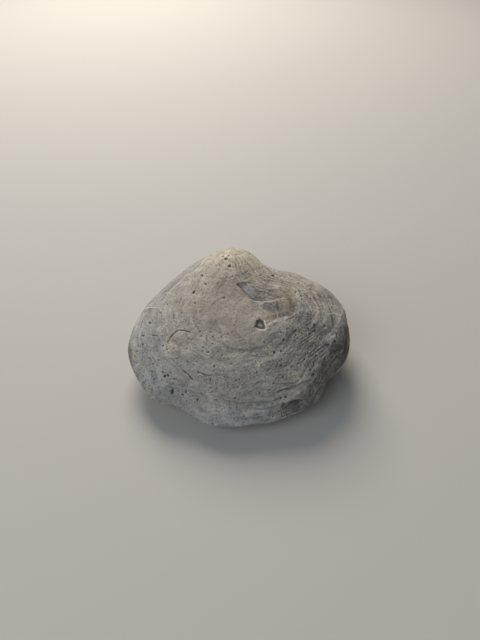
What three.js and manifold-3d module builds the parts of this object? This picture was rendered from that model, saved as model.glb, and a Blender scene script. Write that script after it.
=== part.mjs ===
import * as THREE from 'three';
import { mergeVertices } from 'three/addons/utils/BufferGeometryUtils.js';
import Module from 'manifold-3d';

// Fossil clam: two valves shut on each other, turned with the mud inside them to one grey stone.
// Millimetres, +Z up. The stone lies on its lower valve with the beaks at the far side, +Y.
// The origin is on the surface it rests on, under the middle of its outline.
//
// The form is worked out in the plane where the valves meet. There u runs along the stone, v from
// the front edge to the beaks, and w is the height off the plane, positive on the upper valve.

// Pose of the plane where the valves meet
const TILT = 12;
const SEAM_HEIGHT = 10.75;
const SHIFT = [-0.2, -0.74];

// Edge of the valves, u and v of the points that its shape needs, clockwise from the beaks
const EDGE = [
  [-6.5, 33.9], [2.8, 32.5], // over the beaks
  [10.5, 22], [20, 21.5], // hollow in front of the beaks
  [31.5, 14.5], [35.4, 0.5], [32.8, -10], // right end
  [26.5, -16.5], [23, -23], // dent in the right front
  [14, -27.6], [3, -30.5], [-8, -30.5], // front edge
  [-19, -24.5], [-25.5, -22.5], // dent in the left front
  [-31, -15.5], [-35, -5], [-32.5, 6.5], // left end
  [-25.2, 17.1], [-15.2, 28.7], // straight slope behind the beaks
];

// Oval that the outline of a valve softens to, away from its edge
const OVAL = { middle: [0, -0.5], half: [35, 30.5] };

// Each valve: its swelling above or below the seam, the swell at its beak, and its growth lines
const UPPER = {
  side: 1, middle: [0, 1], swell: 13, roundness: 2.1, steepness: 0.78,
  beak: { at: [-2, 21.5], rise: 3.5, width: 8 },
  rings: 28, ripple: 0.28, ripples: 11,
};
const LOWER = {
  side: -1, middle: [0, 8], swell: 11.8, roundness: 1.9, steepness: 0.8,
  beak: { at: [-2, 22], rise: 3.6, width: 8 },
  rings: 17, ripple: 0.3, ripples: 10,
};
const MERIDIANS = 96;

// Groove between the valves: shallow all round, a deep valley between the two beaks, and a long
// narrow one behind them, where the ligament lay
const SEAM_GROOVE = { depth: 0.55, width: 0.07 };
const HINGE_VALLEYS = [
  { depth: 5.5, width: 0.23, at: 97, spread: 19 },
  { depth: 2.4, width: 0.16, at: 124, spread: 13 },
];

// Growth lines start at this point by the beak. Each is the valve's edge drawn smaller towards it
const GROWTH_START = [-2, 26];

// Ledges where layers have come away from the upper valve: a line of points whose right-hand
// side, seen from above, lies lower by the drop, which fades out over the reach
const LEDGES = [
  { line: [[12, 5], [6.5, 3.4], [4, 3.9], [2.3, 5.7], [0.4, 8], [-1.5, 10.7]], drop: 0.5, reach: 8 },
  { line: [[8.3, -4.6], [12.2, -2.9], [15.8, -0.9], [17.8, 0.2]], drop: 0.3, reach: 7 },
  { line: [[-5, -4], [-4.7, -9.4], [-3, -10.7], [3, -10.4], [6.8, -8.8], [9, -5]], drop: 0.2, reach: 6 },
  { line: [[10.5, -23], [14, -21.8], [16.5, -20.9], [20.5, -19.2]], drop: 0.25, reach: 4 },
  { line: [[11.8, -30], [11.7, -26.1], [13.6, -25.3], [16, -24.7], [22, -23.2]], drop: 0.7, reach: 7 },
  { line: [[-12.4, 23], [-13.8, 19.5], [-16.5, 17], [-19.5, 14.3], [-25.5, 7.5]], drop: 0.5, reach: 9 },
  { line: [[28.5, -14], [31, -9.3], [32.6, -4.5], [33.3, 0], [33.2, 5]], drop: 0.9, reach: 6 },
];
const LEDGE_WIDTH = 0.9;
const LEDGE_END = 3;

// Crest of the right shoulder, where the top turns down into the steep flank, on its right-hand
// side. It falls off over `inward` to the top and over `outward` to the flank.
const SHOULDER = {
  line: [[32.3, 5], [31, 0], [28.6, -5.2], [26.8, -9.4], [24.7, -13.3], [22.2, -16.6], [18.5, -19.6]],
  rise: 0.55, inward: 3, outward: 1.3, end: 5,
};

// Pits of the upper valve: place, half width, depth, stretch along the pit and its turn in degrees
const PITS = [
  { at: [-4.2, 19.4], radius: 0.6, depth: 0.6, stretch: 1.1, turn: 60 },
  { at: [-2.9, 16], radius: 0.6, depth: 0.55, stretch: 1.2, turn: 80 },
  { at: [10.7, 14.4], radius: 0.5, depth: 0.5, stretch: 1.4, turn: 20 },
  { at: [18.8, 12.4], radius: 0.45, depth: 0.4 },
  { at: [-14.1, 7.6], radius: 0.55, depth: 0.55, stretch: 1.3, turn: 60 },
  { at: [-11.7, 13.9], radius: 0.42, depth: 0.4, stretch: 1.8, turn: -25 },
  { at: [-10.6, 10.2], radius: 0.5, depth: 0.4, stretch: 1.7, turn: -15 },
  { at: [-24, 2.1], radius: 0.5, depth: 0.45 },
  { at: [-27.3, -0.6], radius: 0.55, depth: 0.5, stretch: 1.4, turn: 100 },
  { at: [-29.2, -4.3], radius: 0.45, depth: 0.5, stretch: 1.7, turn: -15 },
  { at: [-21.4, -17.8], radius: 0.5, depth: 0.55 },
  { at: [-19.2, -21.6], radius: 0.6, depth: 0.55, stretch: 1.3, turn: 60 },
  { at: [-8.2, -19.9], radius: 0.35, depth: 0.4, stretch: 2, turn: 95 },
  { at: [-7, -16.4], radius: 0.42, depth: 0.4 },
  { at: [-2.3, -16.1], radius: 0.42, depth: 0.4 },
  { at: [5.7, -23.5], radius: 0.36, depth: 0.4, stretch: 1.8, turn: 50 },
  { at: [10, -12.9], radius: 0.5, depth: 0.45 },
  { at: [12.8, -9.2], radius: 0.5, depth: 0.5 },
  { at: [16.4, -6.1], radius: 0.43, depth: 0.4 },
  { at: [20.3, -18.2], radius: 0.42, depth: 0.4 },
];
const PIT_SIDES = 6;
const PIT_FLOOR = 0.2;

// The largest pit: uneven corners, set out from a point in it, and a floor smaller than its mouth
const CORNER_PIT = {
  at: [6, -4.4], corners: [[-1.6, -0.5], [-0.4, 1.8], [0.4, 1.6], [1.1, -1.2], [0.2, -1.5]],
  depth: 0.75, floor: 0.7,
};

// Cracks of the upper valve, each a line of points with a V of this width and depth along it
const CRACKS = [
  [[-21, -8.4], [-20.5, -7.2], [-19.7, -6.3], [-18.6, -5.5], [-17.4, -5.1], [-16.3, -5.3], [-15, -5.9]],
  [[-15.8, -17.1], [-14.6, -17.9], [-13.3, -19.3]],
  [[-11.6, -17.7], [-10, -18.3], [-8.4, -18.9]],
];
const CRACK_WIDTH = 0.6;
const CRACK_DEPTH = 0.5;
const CRACK_OVERLAP = 0.2;

// How far a cutter stands out of the stone
const CUT_RISE = 0.3;

// Block that takes off whatever is below the surface that the stone rests on
const UNDER_SIDE = 100;

// Looks of the stone
const STONE_COLOUR = 0x8d8982;
const STONE_ROUGHNESS = 0.9;

const wasm = await Module();
wasm.setup();

const radians = THREE.MathUtils.degToRad;
const smoothstep = THREE.MathUtils.smoothstep;
const edgeCurve = new THREE.CatmullRomCurve3(
  EDGE.map(([u, v]) => new THREE.Vector3(u, v, 0)), true, 'catmullrom', 0.5);
const edgePoints = edgeCurve.getSpacedPoints(MERIDIANS).slice(0, MERIDIANS);
const ovalPoints = edgePoints.map((point) => ovalPoint(Math.atan2(point.y, point.x)));

// Point of the oval in the direction of an angle
function ovalPoint(angle) {
  const [a, b] = OVAL.half;
  const radius = 1 / Math.hypot(Math.cos(angle) / a, Math.sin(angle) / b);
  const middle = new THREE.Vector3(OVAL.middle[0], OVAL.middle[1], 0);
  return middle.add(new THREE.Vector3(radius * Math.cos(angle), radius * Math.sin(angle), 0));
}

// 1 at the angle `at`, falling off smoothly over `spread` degrees to both sides of it
function bell(angle, at, spread) {
  return Math.exp((Math.cos(angle - radians(at)) - 1) / radians(spread) ** 2);
}

// Share of the way that a point has come from the growth lines' start to a closed outline, which
// the line from the start through the point crosses on one stretch
function shareOfWay(outline, du, dv) {
  let share = 0;
  outline.forEach((a, i) => {
    const b = outline[(i + 1) % outline.length];
    const across = du * (b.y - a.y) - dv * (b.x - a.x);
    const [au, av] = [a.x - GROWTH_START[0], a.y - GROWTH_START[1]];
    const along = (au * dv - av * du) / across;
    const reach = (au * (b.y - a.y) - av * (b.x - a.x)) / across;
    if (along >= 0 && along <= 1 && reach > 0) share = 1 / reach;
  });
  return share;
}

// Age of the growth line through a point, 0 at the beak and 1 at the edge. The young lines go
// round like the oval, and the old ones like the edge.
function growth(u, v) {
  const du = u - GROWTH_START[0];
  const dv = v - GROWTH_START[1];
  const round = shareOfWay(ovalPoints, du, dv);
  const old = Math.min(round, 1) ** 2;
  return THREE.MathUtils.lerp(round, shareOfWay(edgePoints, du, dv), old);
}

// Height of the growth ridges: rounded backs with narrow grooves, crowded and higher to the edge
function ripple(valve, u, v) {
  const age = growth(u, v);
  const phase = valve.ripples * age ** 1.4 + 0.25 * Math.sin(u / 9) + 0.2 * Math.sin(7 * age);
  const back = Math.abs(Math.sin(Math.PI * phase));
  return valve.ripple * (back ** 0.6 - 0.6) * smoothstep(age, 0.3, 0.85);
}

// Distance from a point to a line's nearest stretch, positive on the right-hand side of the line,
// and how far the point lies past the line's two ends
function lineDistance(line, u, v) {
  let near = Infinity;
  let signed = 0;
  let past = 0;
  for (let i = 0; i + 1 < line.length; i++) {
    const [au, av] = line[i];
    const [bu, bv] = line[i + 1];
    const span = Math.hypot(bu - au, bv - av);
    const along = ((u - au) * (bu - au) + (v - av) * (bv - av)) / span;
    const across = ((v - av) * (bu - au) - (u - au) * (bv - av)) / span;
    const short = i > 0 ? Math.max(-along, 0) : 0;
    const long = i + 2 < line.length ? Math.max(along - span, 0) : 0;
    const distance = Math.hypot(across, short, long);
    if (distance < near) {
      near = distance;
      signed = across > 0 ? -distance : distance;
      past = Math.max(-along, along - span, 0) - short - long;
    }
  }
  return { signed, past };
}

// How much lower the surface lies at a point for one ledge: a smooth step across its line,
// fading over the reach and past the line's two ends
function ledgeDrop({ line, drop, reach }, u, v) {
  const { signed, past } = lineDistance(line, u, v);
  const step = smoothstep(signed, -LEDGE_WIDTH / 2, LEDGE_WIDTH / 2);
  return drop * step * (1 - smoothstep(signed, 0, reach)) * (1 - smoothstep(past, 0, LEDGE_END));
}

// How much higher the surface lies at a point for the shoulder
function shoulderRise(u, v) {
  const { signed, past } = lineDistance(SHOULDER.line, u, v);
  const width = signed > 0 ? SHOULDER.outward : SHOULDER.inward;
  return SHOULDER.rise * Math.exp(-((signed / width) ** 2)) * (1 - smoothstep(past, 0, SHOULDER.end));
}

// A point of the valve's surface, on one of its meridians and so far from the middle of the
// valve (0) to the seam (1, as a quarter turn)
function surface(valve, meridian, way) {
  const edge = edgePoints[meridian];
  const angle = Math.atan2(edge.y, edge.x);
  const turn = way * Math.PI / 2;
  const right = bell(angle, -12, 32);
  const back = bell(angle, 92, 40);
  const left = bell(angle, 165, 40);
  let roundness = valve.roundness + 0.5 * back;
  let steepness = valve.steepness - 0.25 * back - 0.12 * right;
  if (valve.side > 0) {
    roundness += 1.6 * right + 0.3 * left;
    steepness -= 0.12 * right + 0.12 * left;
  }
  const reach = Math.sin(turn);
  const middle = new THREE.Vector3(valve.middle[0], valve.middle[1], 0);
  const outward = ovalPoints[meridian].clone().lerp(edge, reach ** 3).sub(middle);
  const off = Math.PI / 2 - turn;
  let hollow = SEAM_GROOVE.depth * Math.exp(-((off / SEAM_GROOVE.width) ** 2));
  for (const { depth, width, at, spread } of HINGE_VALLEYS) {
    hollow += depth * bell(angle, at, spread) * Math.exp(-((off / width) ** 2));
  }
  const place = middle.clone().addScaledVector(outward, reach * (1 - hollow / outward.length()));
  let height = valve.swell * (1 - reach ** roundness) ** steepness;
  const away = Math.hypot(place.x - valve.beak.at[0], place.y - valve.beak.at[1]);
  height += valve.beak.rise * Math.exp(-((away / valve.beak.width) ** 2) / 2) * (1 - reach ** 6);
  let relief = ripple(valve, place.x, place.y);
  if (valve.side > 0) {
    relief += shoulderRise(place.x, place.y);
    for (const ledge of LEDGES) relief -= ledgeDrop(ledge, place.x, place.y);
  }
  height += relief * (1 - reach ** 12);
  return new THREE.Vector3(place.x, place.y, valve.side * height);
}

// From the seam's own plane to the stone as it lies
function lay(point) {
  return point.applyAxisAngle(new THREE.Vector3(1, 0, 0), radians(TILT))
    .add(new THREE.Vector3(...SHIFT, SEAM_HEIGHT));
}

// Way of ring i from the middle of the valve to the seam: the rings crowd towards the seam
function ringWay(valve, i) {
  return 1 - (1 - i / valve.rings) ** 1.25;
}

// The closed surface: a point in the middle of the upper valve, rings down to the seam and on
// over the lower valve, and a point in the middle of that
function stoneGeometry() {
  const points = [surface(UPPER, 0, 0)];
  const addRing = (valve, i) => {
    for (let j = 0; j < MERIDIANS; j++) points.push(surface(valve, j, ringWay(valve, i)));
  };
  for (let i = 1; i <= UPPER.rings; i++) addRing(UPPER, i);
  for (let i = LOWER.rings - 1; i > 0; i--) addRing(LOWER, i);
  points.push(surface(LOWER, 0, 0));
  const rings = UPPER.rings + LOWER.rings - 1;
  const last = points.length - 1;
  const index = [];
  const at = (ring, j) => 1 + ring * MERIDIANS + (j % MERIDIANS);
  for (let j = 0; j < MERIDIANS; j++) {
    index.push(0, at(0, j + 1), at(0, j));
    for (let ring = 0; ring + 1 < rings; ring++) {
      index.push(at(ring, j), at(ring, j + 1), at(ring + 1, j + 1));
      index.push(at(ring, j), at(ring + 1, j + 1), at(ring + 1, j));
    }
    index.push(last, at(rings - 1, j), at(rings - 1, j + 1));
  }
  const geometry = new THREE.BufferGeometry();
  geometry.setAttribute('position', new THREE.Float32BufferAttribute(
    points.flatMap((point) => lay(point).toArray()), 3));
  geometry.setIndex(index);
  return geometry;
}

// A solid for joining and cutting, from any closed geometry
function toSolid(geometry) {
  const bare = geometry.clone();
  bare.deleteAttribute('normal');
  bare.deleteAttribute('uv');
  const merged = mergeVertices(bare, 1e-4);
  return new wasm.Manifold(new wasm.Mesh({
    numProp: 3,
    vertProperties: new Float32Array(merged.attributes.position.array),
    triVerts: new Uint32Array(merged.index.array),
  }));
}

// Frame on the upper surface over u, v: the point there, with its Z axis along the normal
function frameAt(stone, u, v) {
  const up = new THREE.Vector3(0, 0, 1).applyAxisAngle(new THREE.Vector3(1, 0, 0), radians(TILT));
  const start = lay(new THREE.Vector3(u, v, 30));
  const hit = new THREE.Raycaster(start, up.clone().negate()).intersectObject(stone)[0];
  const turn = new THREE.Quaternion().setFromUnitVectors(new THREE.Vector3(0, 0, 1), hit.face.normal);
  return new THREE.Matrix4().compose(hit.point, turn, new THREE.Vector3(1, 1, 1));
}

// Cutter of one pit: a cone that narrows into the stone to a small floor
function pitCutter(stone, { at, radius, depth, stretch = 1, turn = 0 }) {
  const mouth = radius * (1 + (1 - PIT_FLOOR) * CUT_RISE / depth);
  const cone = new THREE.CylinderGeometry(mouth, radius * PIT_FLOOR, depth + CUT_RISE, PIT_SIDES);
  cone.rotateX(Math.PI / 2);
  cone.translate(0, 0, (CUT_RISE - depth) / 2);
  cone.scale(stretch, 1, 1);
  cone.rotateZ(radians(turn));
  return toSolid(cone.applyMatrix4(frameAt(stone, ...at)));
}

// Cutter of the pit with corners: its outline carried down, and drawn in at the floor
function cornerPitCutter(stone) {
  const { at, corners, depth, floor } = CORNER_PIT;
  const outline = new THREE.Shape(corners.map(([u, v]) => new THREE.Vector2(u, v)));
  const prism = new THREE.ExtrudeGeometry(outline, { depth: depth + CUT_RISE, bevelEnabled: false });
  prism.translate(0, 0, -depth);
  const places = prism.attributes.position;
  for (let i = 0; i < places.count; i++) {
    if (places.getZ(i) < 0) places.setXY(i, places.getX(i) * floor, places.getY(i) * floor);
  }
  return toSolid(prism.applyMatrix4(frameAt(stone, ...at)));
}

// Cutter of one crack: a V along each stretch between its points
function crackCutter(stone, line) {
  const half = CRACK_WIDTH / 2;
  const wedge = new THREE.Shape([
    new THREE.Vector2(-half, CUT_RISE), new THREE.Vector2(0, -CRACK_DEPTH), new THREE.Vector2(half, CUT_RISE),
  ]);
  let cutter = null;
  for (let i = 0; i + 1 < line.length; i++) {
    const from = new THREE.Vector3().setFromMatrixPosition(frameAt(stone, ...line[i]));
    const to = new THREE.Vector3().setFromMatrixPosition(frameAt(stone, ...line[i + 1]));
    const length = from.distanceTo(to) + CRACK_OVERLAP;
    const stretch = new THREE.ExtrudeGeometry(wedge, { depth: length, bevelEnabled: false });
    stretch.applyMatrix4(new THREE.Matrix4().lookAt(to, from, new THREE.Vector3(0, 0, 1)));
    stretch.translate(from.x, from.y, from.z);
    const solid = toSolid(stretch);
    cutter = cutter ? cutter.add(solid) : solid;
  }
  return cutter;
}

// The stone with its pits and cracks, cut off flat where it has worn on the spot it rests on
function makeClam() {
  const body = stoneGeometry();
  const stone = new THREE.Mesh(body);
  let solid = toSolid(body);
  for (const pit of PITS) solid = solid.subtract(pitCutter(stone, pit));
  for (const crack of CRACKS) solid = solid.subtract(crackCutter(stone, crack));
  solid = solid.subtract(cornerPitCutter(stone));
  const under = new THREE.BoxGeometry(UNDER_SIDE, UNDER_SIDE, UNDER_SIDE);
  under.translate(0, 0, -UNDER_SIDE / 2);
  solid = solid.subtract(toSolid(under));

  const mesh = solid.getMesh();
  const geometry = new THREE.BufferGeometry();
  geometry.setAttribute('position', new THREE.BufferAttribute(new Float32Array(mesh.vertProperties), 3));
  geometry.setIndex(Array.from(mesh.triVerts));
  geometry.computeVertexNormals();
  const clam = new THREE.Mesh(geometry, new THREE.MeshStandardMaterial({
    color: STONE_COLOUR, roughness: STONE_ROUGHNESS, metalness: 0,
  }));
  clam.name = 'fossil_clam';
  return clam;
}

const part = new THREE.Group();
part.add(makeClam());
export default part;
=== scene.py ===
"""Fossil clam: both valves shut and turned to one lump of grey limestone, lying on one valve.

The stone is worked out in the plane where its valves meet, in millimetres. There u runs along the
stone, v from the front edge to the beaks, and w is the height off the plane, positive on the
upper valve. The plane is tilted when the stone lies, and meshes are made in metres.
"""

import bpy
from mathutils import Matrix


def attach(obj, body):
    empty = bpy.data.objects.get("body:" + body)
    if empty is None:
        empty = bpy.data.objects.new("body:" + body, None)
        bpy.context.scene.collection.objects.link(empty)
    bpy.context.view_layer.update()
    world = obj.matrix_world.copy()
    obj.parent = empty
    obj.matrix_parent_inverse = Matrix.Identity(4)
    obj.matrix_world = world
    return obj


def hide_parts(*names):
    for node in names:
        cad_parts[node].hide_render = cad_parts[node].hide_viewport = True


bl_info = {
    "name": "Fossil clam",
    "version": (1, 0, 0),
    "blender": (4, 5, 0),
    "location": "3D View > Sidebar > Fossil clam",
    "description": "Builds a fossil clam of grey limestone and a stage to see it on",
    "category": "Add Mesh",
}

import bpy
import numpy as np
from bpy.props import FloatProperty, FloatVectorProperty, PointerProperty
from mathutils import Vector

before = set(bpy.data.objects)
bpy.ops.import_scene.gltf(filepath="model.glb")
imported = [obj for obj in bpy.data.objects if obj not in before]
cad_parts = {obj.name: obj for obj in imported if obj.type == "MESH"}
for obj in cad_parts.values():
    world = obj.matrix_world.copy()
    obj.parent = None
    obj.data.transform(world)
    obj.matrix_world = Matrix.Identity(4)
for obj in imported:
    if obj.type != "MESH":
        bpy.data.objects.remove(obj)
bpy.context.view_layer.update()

NODE = "fossil_clam"
PIECE = "clam_stone"
MM = 0.001

# Pose of the plane where the valves meet
TILT = np.radians(12)
SEAM_HEIGHT = 10.75
SHIFT = (-0.2, -0.74)

# Edge of the valves, u and v of the points that its shape needs, clockwise from the beaks
EDGE = np.array([
    (-6.5, 33.9), (2.8, 32.5),
    (10.5, 22), (20, 21.5),
    (31.5, 14.5), (35.4, 0.5), (32.8, -10),
    (26.5, -16.5), (23, -23),
    (14, -27.6), (3, -30.5), (-8, -30.5),
    (-19, -24.5), (-25.5, -22.5),
    (-31, -15.5), (-35, -5), (-32.5, 6.5),
    (-25.2, 17.1), (-15.2, 28.7),
])

# Oval that the outline of a valve softens to, away from its edge
OVAL_MIDDLE = np.array((0, -0.5))
OVAL_HALF = np.array((35, 30.5))
OVAL_BLEND = 3

# Each valve: its swelling above or below the seam, and the swell at its beak
UPPER = {
    "side": 1, "middle": (0, 1), "swell": 13, "roundness": 2.1, "steepness": 0.78,
    "beak": (-2, 21.5), "beak_rise": 3.5, "beak_width": 8,
}
LOWER = {
    "side": -1, "middle": (0, 8), "swell": 11.8, "roundness": 1.9, "steepness": 0.8,
    "beak": (-2, 22), "beak_rise": 3.6, "beak_width": 8,
}

# Groove between the valves, shallow all round. The deep valley between the two beaks and the long
# narrow one behind them, where the ligament lay: depth, width, the angle it is at and its spread
SEAM_GROOVE_DEPTH = 0.55
SEAM_GROOVE_WIDTH = 0.07
HINGE_VALLEYS = ((5.5, 0.23, 97, 19), (2.4, 0.16, 124, 13))

# Growth lines start at this point by the beak, and the front edge is about this far from it
GROWTH_START = np.array((-3.2, 28.8))
GROWTH_LENGTH = 58

# Ridges between the beak and the edge, and how they crowd towards the edge as a power of the age
RIDGE_COUNT = 15
RIDGE_CROWDING = 1.4

# How strong the growth lines of the lower valve are
LOWER_FORCE = 0.55

# Ledges where layers have come away: a line of points whose right-hand side, seen from above,
# lies lower by the drop, which fades out over the reach. How wide the step is, and how far past
# its ends it goes on
LEDGES = (
    (((12, 5), (9.3, 3.9), (6.5, 3.4), (4, 3.9), (2.3, 5.7), (0.7, 7.6), (-0.7, 9.1), (-0.5, 9.9),
      (2, 10.4)), 0.27, 8),
    (((7.8, -5.2), (9.5, -3.7), (12.8, -2.7), (15.2, -1.3), (17.3, 0)), 0.12, 7),
    (((-5.4, -5.6), (-4.6, -7.4), (-4.6, -9.4), (-3.6, -10.8), (-2, -11.6), (0.2, -12), (3.1, -12),
      (6.5, -11.2), (8.8, -9.8), (10.4, -7.8)), 0.15, 6),
    (((10.5, -23), (14, -21.8), (16.5, -20.9), (20.5, -19.2)), 0.07, 4),
    (((12.4, -29), (11.8, -26), (13.4, -25.2), (16, -24.4)), 0.45, 5),
    (((-6, 29), (-9.5, 26.6), (-12.4, 22.5), (-12.9, 18.8), (-14.5, 17.4), (-17.1, 16.6),
      (-18.8, 14.2), (-21.8, 10.9), (-23.4, 8)), 0.6, 7),
    (((28.5, -14), (31, -9.3), (32.6, -4.5), (33.3, 0), (33.2, 5)), 0.9, 6),
    (((-28.8, 5.9), (-26.5, 4.9), (-24.6, 3.9)), 0.15, 3),
)
LEDGE_WIDTH = 0.4
LEDGE_END = 3.5

# Pale lines where the edge of a layer has broken, partly a painted highlight where such an edge
# faces the light from behind: a line of points and a strength
CRESTS_AND_GLINTS = (
    (((3.4, 4), (5.5, 3.4), (8.6, 3.5)), 0.7), (((8.6, 3.5), (10.7, 4.2), (13, 5)), 0.3),
    (((7.8, -5.2), (9.5, -3.7), (12.8, -2.7), (15.2, -1.3), (17.3, 0)), 1),
    (((12.8, -28), (11.8, -26)), 0.9), (((11.8, -26), (14.4, -24.9), (17.2, -23.8)), 0.35),
    (((-12.6, 22.2), (-12.8, 18.9), (-14.5, 17.4), (-17.1, 16.5), (-18.7, 14.2)), 0.9),
    (((-18.7, 14.2), (-21.7, 10.9), (-23.3, 8)), 0.6), (((-30.1, 7), (-24.2, 3.9)), 1),
    (((26.8, 1), (28.6, 2), (30.4, 1.8), (31.5, 2.8)), 0.7), (((19, -7.5), (21.5, -5.2)), 0.4),
    (((15.5, -16), (18, -14.6), (22, -10.4)), 0.35), (((30.8, -3.5), (32, -5.8)), 0.6),
    (((7.2, -3.2), (7.95, -5.3), (7.5, -6.1), (6.2, -6.2), (5.2, -5.8)), 0.75),
)

# Crest of the right shoulder, where the top turns down into the steep flank
SHOULDER = ((32.3, 5), (31, 0), (28.6, -5.2), (26.8, -9.4), (24.7, -13.3), (22.2, -16.6), (18.5, -19.6))
SHOULDER_RISE = 0.55

# Pits of the upper valve: u, v, half width, depth, stretch along the pit and its turn in degrees
PITS = (
    (-4.2, 19.4, 0.6, 0.6, 1.1, 60), (-5.2, 20.8, 0.46, 0.5, 1.3, 0), (-3.4, 20.9, 0.46, 0.5, 1.3, 20),
    (-2.9, 16.1, 0.54, 0.55, 1.4, 65), (10.7, 14.4, 0.48, 0.5, 1.4, 20), (9.2, 11.6, 0.25, 0.3, 1, 0),
    (3.2, 21.8, 0.25, 0.35, 3.2, 70), (-14, 7.9, 0.44, 0.55, 1.9, 66), (-4.6, 4.9, 0.33, 0.35, 1.3, 40),
    (-11.7, 13.9, 0.43, 0.45, 1.7, -25), (-16, 13.6, 0.28, 0.3, 1, 0), (-10.4, 10.3, 0.48, 0.45, 1.7, -15),
    (-13.3, 3.6, 0.38, 0.4, 1, 0), (-22.1, 4.9, 0.33, 0.4, 1, 0), (-24, 2.1, 0.38, 0.45, 1.1, 0),
    (-19.5, 8.4, 0.28, 0.3, 1, 0), (-17.3, 0.4, 0.32, 0.35, 1, 0), (-21.5, 1.7, 0.25, 0.3, 1, 0),
    (-22.7, -0.9, 0.3, 0.3, 1, 0), (-27.3, -0.6, 0.45, 0.5, 1.4, 100), (-29.2, -4.3, 0.38, 0.5, 1.7, -15),
    (-29.7, -2.8, 0.2, 0.3, 3, -45), (-30.8, -8.7, 0.24, 0.35, 4, -12), (-11.1, -7.7, 0.35, 0.35, 1, 0),
    (-10.6, -12.1, 0.25, 0.3, 1.6, 0), (-21.4, -17.8, 0.42, 0.55, 1, 0), (-19.2, -21.6, 0.4, 0.6, 2.3, 72),
    (-25.5, -15.8, 0.3, 0.3, 1, 0), (-25.4, -20.2, 0.3, 0.35, 1.2, 0), (-8, -19.9, 0.3, 0.45, 2.6, 95),
    (-7, -16.4, 0.35, 0.4, 1, 0), (-4.9, -13.6, 0.25, 0.4, 2.2, 80), (-2.3, -16.1, 0.35, 0.4, 1, 0),
    (-3.2, -21.5, 0.28, 0.3, 1.2, 0), (-1.2, -24.7, 0.32, 0.35, 1.2, 0), (5.7, -23.5, 0.3, 0.4, 1.8, 50),
    (9.6, -21, 0.3, 0.4, 1, 0), (10, -12.9, 0.42, 0.45, 1, 0), (12, -12.4, 0.28, 0.4, 2.2, 55),
    (12.8, -9.2, 0.4, 0.5, 1, 0), (12.2, -7, 0.35, 0.4, 1, 0), (13.9, -5.7, 0.3, 0.4, 1.5, 20),
    (16.4, -6.1, 0.36, 0.4, 1, 0), (10.8, -16.3, 0.3, 0.4, 1.7, 10), (11.8, -0.8, 0.34, 0.35, 1, 0),
    (13.2, -1.1, 0.3, 0.35, 1.3, 30), (18.8, 12.4, 0.36, 0.4, 1, 0), (16.1, 11, 0.22, 0.3, 2.4, 80),
    (17.3, 8, 0.34, 0.35, 1, 0), (19, 6.6, 0.3, 0.35, 1.3, 60), (20.2, -5.2, 0.3, 0.35, 1, 0),
    (13.7, -17.6, 0.28, 0.3, 1, 0), (20.3, -18.2, 0.35, 0.4, 1, 0),
)

# The largest pit: its uneven corners, its depth, where its floor is highest, and the point to
# whose front right its rim is pale
CORNER_PIT = ((4.6, -5.1), (5.2, -3.3), (6.1, -2.8), (6.9, -3.3), (7.6, -5.4), (7.2, -5.8), (6.2, -5.9))
CORNER_PIT_DEPTH = 0.5
CORNER_PIT_FLOOR = (6.3, -4.7)
CORNER_PIT_RIM = (6.2, -4.3)

# Cracks of the upper valve: a line of points and a depth
CRACKS = (
    (((-20.9, -8.6), (-20.3, -7.1), (-19.4, -6.2), (-18.4, -5.5), (-17.2, -5.2), (-16.2, -5.4),
      (-14.3, -6.1)), 0.4),
    (((-15.8, -17.1), (-14.6, -17.9), (-13.3, -19.3)), 0.4),
    (((-11.6, -17.7), (-10, -18.3), (-8.4, -18.9)), 0.28), (((-8.4, -18.9), (-3.5, -18.9)), 0.1),
    (((-8, 2.6), (-6.5, 4.1), (-5, 5.1)), 0.15), (((-26, -5.1), (-24.5, -5.8)), 0.25),
    (((11, -22.8), (14, -21.8), (16.5, -20.9), (20, -19.3)), 0.22),
    (((14.2, -2.5), (15.4, -1.7), (17, -0.7)), 0.22),
    (((-12, 14.2), (-9.1, 12.8), (-5.3, 11.5), (-2.8, 11.7), (-0.8, 12.5)), 0.09),
    (((-13.3, 21.5), (-13.5, 18.9), (-15.2, 17.7), (-17.7, 16.7), (-19.4, 14.5), (-22.3, 11.4),
      (-24.3, 8)), 0.35),
    (((14.8, -16.8), (18, -15), (22, -10.8)), 0.12),
    (((4.5, -5.1), (5.1, -3.2), (6.1, -2.7), (7, -3.4), (7.6, -5.4), (7.2, -5.8), (6.2, -5.85),
      (4.5, -5.1)), 0.3),
    (((-2.5, -26.9), (-2.6, -25.5), (-0.6, -25.6), (-0.6, -26.9)), 0.12),
)
CRACK_WIDTH = 0.3

# Patches of colour on the upper valve: u, v, two half widths, turn in degrees and strength
OCHRE = (
    (9.5, -2, 4.5, 1.5, 15, 0.7), (13, -1, 3, 1.2, 18, 0.7), (13.6, 2.9, 5.2, 3.2, 30, 0.85),
    (13.5, 7.5, 5, 2.4, 10, 0.8), (-4, 9.6, 4.5, 1.3, 3, 0.5), (6.5, 14.5, 7, 3, 5, 0.2),
    (-12, 2, 8, 3.5, -5, 0.35), (-12.7, 8.3, 1.6, 1.2, 0, 0.6), (-20, -8.5, 2.5, 1.8, 0, 0.5),
    (16, -19, 2.5, 1.5, 10, 0.4), (-20.8, 14.2, 7, 1.3, 49, 0.4), (20.5, -10, 3.5, 3, 40, 0.5),
    (25.5, -11, 2, 1, 10, 0.5), (3, 10, 8, 3.5, 0, 0.1), (-27.5, 3, 2.5, 2.2, 0, 0.4),
    (26, 3, 5, 4, 50, 0.25),
)
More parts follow.
